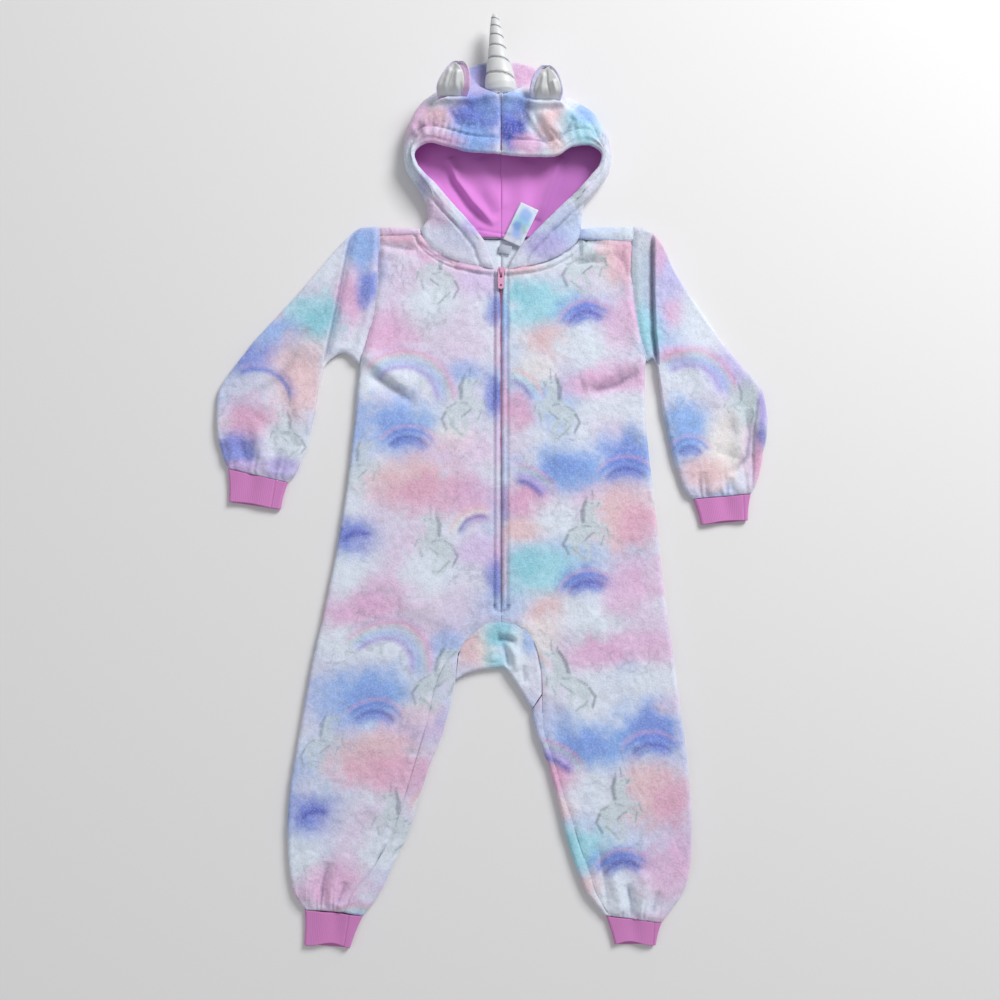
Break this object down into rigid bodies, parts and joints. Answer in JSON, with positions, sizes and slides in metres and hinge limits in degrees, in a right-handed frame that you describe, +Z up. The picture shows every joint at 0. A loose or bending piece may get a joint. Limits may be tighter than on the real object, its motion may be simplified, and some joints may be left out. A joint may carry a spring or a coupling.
{
  "type": "unicorn onesie",
  "caption": "Child's hooded fleece onesie lying flat, front up: zip front, rib cuffs, crotch gusset, lined hood with ears and a stuffed horn.",
  "frame": {"origin": "middle of the footprint on the surface that the garment lies on", "axes": "+X to the wearer's left, +Y from the ankle cuffs to the hood, +Z up from the surface"},
  "size_m": [0.654, 1.101, 0.0556],
  "materials": {
    "fleece": "brushed coral fleece pile, printed in soft pastels",
    "rib": "fine rib knit",
    "jersey": "smooth jersey",
    "satin": "silvery satin",
    "zip_tape": "woven tape",
    "zip_teeth": "moulded coil",
    "zip_metal": "pink enamel",
    "label": "printed satin ribbon"
  },
  "bodies": {
    "garment": {"front_right": "fleece", "front_left": "fleece", "back_right": "fleece", "back_left": "fleece", "gusset": "fleece", "sleeve_right": "fleece", "sleeve_left": "fleece", "cuff_wrist_right": "rib", "cuff_wrist_left": "rib", "cuff_ankle_right": "rib", "cuff_ankle_left": "rib", "hood_right": "fleece", "hood_left": "fleece", "lining_right": "jersey", "lining_left": "jersey", "ear_right_outer": "fleece", "ear_right_inner": "satin", "ear_left_outer": "fleece", "ear_left_inner": "satin", "horn": "satin", "zip_tape_right": "zip_tape", "zip_tape_left": "zip_tape", "zip_coil": "zip_teeth", "zip_stop": "zip_metal", "zip_slider": "zip_metal", "label_care": "label", "label_size": "label"},
    "pull": {"zip_pull": "zip_metal"}
  },
  "joints": [
    {"name": "pull_swing", "type": "hinge", "parent": "garment", "child": "pull", "pos_m": [0.012, 0.2395, 0.0114], "axis": [-1, 0, 0], "range_deg": [0, 150]}
  ]
}
